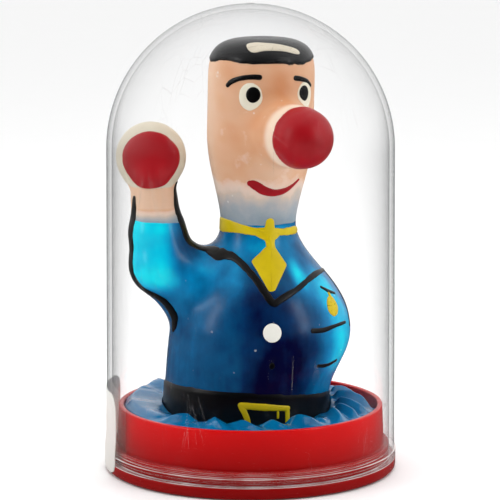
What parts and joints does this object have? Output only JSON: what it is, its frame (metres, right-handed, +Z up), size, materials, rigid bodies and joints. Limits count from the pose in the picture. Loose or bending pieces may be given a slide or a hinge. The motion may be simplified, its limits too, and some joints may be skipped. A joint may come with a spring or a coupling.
{
  "type": "domed novelty figure",
  "caption": "Hand-painted hollow rubber figure with one raised arm, its loose open end tucked in a round cup under a clear push-fit dome.",
  "frame": {"origin": "centre of the cup's underside, on the table", "axes": "+Z up along the dome's axis; the figure's chest faces -Y and its raised arm is towards -X"},
  "size_m": [0.0552, 0.055, 0.0875],
  "materials": {
    "clear_polystyrene": "clear glossy injection-moulded polystyrene",
    "red_polystyrene": "glossy red injection-moulded polystyrene",
    "sticker_paper": "matt white self-adhesive paper, blank",
    "grey_card": "plain uncoated card",
    "flesh_latex": "peach dipped latex with a satin gloss, shading to grey at the neck",
    "blue_latex": "blue dipped latex, cyan to navy, wet gloss",
    "loose_latex": "thin blue latex film, crumpled, wet gloss",
    "black_paint": "thick black latex paint, semi-gloss",
    "yellow_paint": "thick yellow latex paint, satin",
    "white_paint": "thick white latex paint, satin",
    "cream_paint": "cream latex paint, satin",
    "red_paint": "crimson latex paint, gloss"
  },
  "bodies": {
    "base": {"base_cup": "red_polystyrene"},
    "dome": {"clear_dome": "clear_polystyrene", "price_sticker": "sticker_paper"},
    "figure": {"base_card": "grey_card", "former_tube": "grey_card", "head_skin": "flesh_latex", "jacket_skin": "blue_latex", "hand_skin": "flesh_latex", "skirt": "loose_latex", "rim_bead": "loose_latex", "hair_cap": "black_paint", "hair_patch": "cream_paint", "left_brow": "black_paint", "right_brow": "black_paint", "left_eye_white": "white_paint", "right_eye_white": "white_paint", "left_pupil": "black_paint", "right_pupil": "black_paint", "nose_coat": "red_paint", "mouth": "red_paint", "collar": "yellow_paint", "tie": "yellow_paint", "lapel_line": "black_paint", "coat_button": "white_paint", "coat_stud": "black_paint", "pocket_lines": "black_paint", "pendant": "yellow_paint", "belt": "black_paint", "buckle": "yellow_paint", "buckle_tongue": "yellow_paint", "hand_coat": "cream_paint", "palm_disc": "red_paint", "sleeve_lines": "black_paint"}
  },
  "joints": [
    {"name": "dome_lift", "type": "slide", "parent": "base", "child": "dome", "axis": [0, 0, 1], "range_m": [0, 0.09]},
    {"name": "figure_turn", "type": "hinge", "parent": "base", "child": "figure", "pos_m": [0, 0, 0.002], "axis": [0, 0, 1], "continuous": true}
  ]
}
